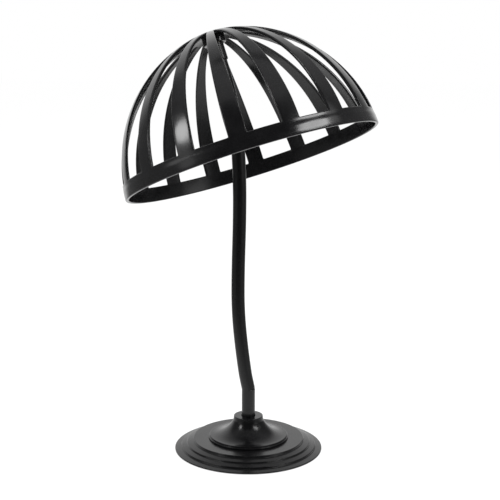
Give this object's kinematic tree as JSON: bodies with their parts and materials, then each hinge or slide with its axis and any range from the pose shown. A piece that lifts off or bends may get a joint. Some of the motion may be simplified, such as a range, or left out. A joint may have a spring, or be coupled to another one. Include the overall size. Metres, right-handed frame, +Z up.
{
  "type": "milliners hat stand",
  "caption": "Table-top hat stand: a ribbed openwork dome carries the hat on a bendable neck over a stepped, weighted round foot.",
  "frame": {"origin": "middle of the face that the foot pad rests on", "axes": "+Z up along the lower ferrule, +X to the right as pictured, -Y towards the viewer"},
  "size_m": [0.1761, 0.1782, 0.3008],
  "materials": {
    "dome_plastic": "glossy black injection moulding",
    "base_plastic": "semi-gloss black injection moulding",
    "sleeve_vinyl": "satin black vinyl sleeve",
    "ferrule_metal": "satin black paint on turned steel",
    "core_steel": "bare annealed steel",
    "brass": "machined",
    "ballast_steel": "blackened plate",
    "zinc_steel": "zinc plated",
    "pad_foam": "matt foam rubber"
  },
  "bodies": {
    "foot": {"base_disc": "base_plastic", "base_collar": "base_plastic", "ballast_plate": "ballast_steel", "base_washer": "zinc_steel", "base_nut": "zinc_steel", "foot_pad": "pad_foam", "lower_ferrule": "ferrule_metal"},
    "neck_link_1": {"neck_sleeve_1": "sleeve_vinyl", "neck_core_1": "core_steel"},
    "neck_link_2": {"neck_sleeve_2": "sleeve_vinyl", "neck_core_2": "core_steel"},
    "neck_link_3": {"neck_sleeve_3": "sleeve_vinyl", "neck_core_3": "core_steel"},
    "neck_link_4": {"neck_sleeve_4": "sleeve_vinyl", "neck_core_4": "core_steel"},
    "neck_link_5": {"neck_sleeve_5": "sleeve_vinyl", "neck_core_5": "core_steel"},
    "neck_link_6": {"neck_sleeve_6": "sleeve_vinyl", "neck_core_6": "core_steel"},
    "neck_link_7": {"neck_sleeve_7": "sleeve_vinyl", "neck_core_7": "core_steel"},
    "head": {"hat_dome": "dome_plastic", "crown_insert": "brass", "upper_ferrule": "ferrule_metal", "neck_sleeve_8": "sleeve_vinyl", "neck_core_8": "core_steel"}
  },
  "joints": [
    {"name": "lower_side_bend", "type": "hinge", "parent": "foot", "child": "neck_link_1", "pos_m": [0, 0, 0.0405], "axis": [0, 1, 0], "range_deg": [-20, 20]},
    {"name": "lower_fore_bend", "type": "hinge", "parent": "neck_link_1", "child": "neck_link_2", "pos_m": [-0.00464, 0, 0.07155], "axis": [0.9927, 0, 0.121], "range_deg": [-20, 20]},
    {"name": "lower_side_bend_next", "type": "hinge", "parent": "neck_link_2", "child": "neck_link_3", "pos_m": [-0.0076, 0, 0.10282], "axis": [0, 1, 0], "range_deg": [-20, 20]},
    {"name": "lower_fore_bend_next", "type": "hinge", "parent": "neck_link_3", "child": "neck_link_4", "pos_m": [-0.00738, 0, 0.13422], "axis": [0.9998, 0, -0.0192], "range_deg": [-20, 20]},
    {"name": "upper_side_bend", "type": "hinge", "parent": "neck_link_4", "child": "neck_link_5", "pos_m": [-0.00639, 0, 0.1656], "axis": [0, 1, 0], "range_deg": [-20, 20]},
    {"name": "upper_fore_bend", "type": "hinge", "parent": "neck_link_5", "child": "neck_link_6", "pos_m": [-0.00628, 0, 0.197], "axis": [0.9996, 0, 0.027], "range_deg": [-20, 20]},
    {"name": "upper_side_bend_next", "type": "hinge", "parent": "neck_link_6", "child": "neck_link_7", "pos_m": [-0.00809, 0.00033, 0.22835], "axis": [0.0061, 0.9988, -0.0495], "range_deg": [-20, 20]},
    {"name": "upper_fore_bend_next", "type": "hinge", "parent": "neck_link_7", "child": "head", "pos_m": [-0.01395, 0.00312, 0.25907], "axis": [0.9692, 0, 0.2464], "range_deg": [-20, 20]}
  ],
  "couplings": [
    {"joint": "lower_side_bend_next", "follows": "lower_side_bend", "ratio": 1},
    {"joint": "lower_fore_bend_next", "follows": "lower_fore_bend", "ratio": 1},
    {"joint": "upper_side_bend_next", "follows": "upper_side_bend", "ratio": 1},
    {"joint": "upper_fore_bend_next", "follows": "upper_fore_bend", "ratio": 1}
  ]
}
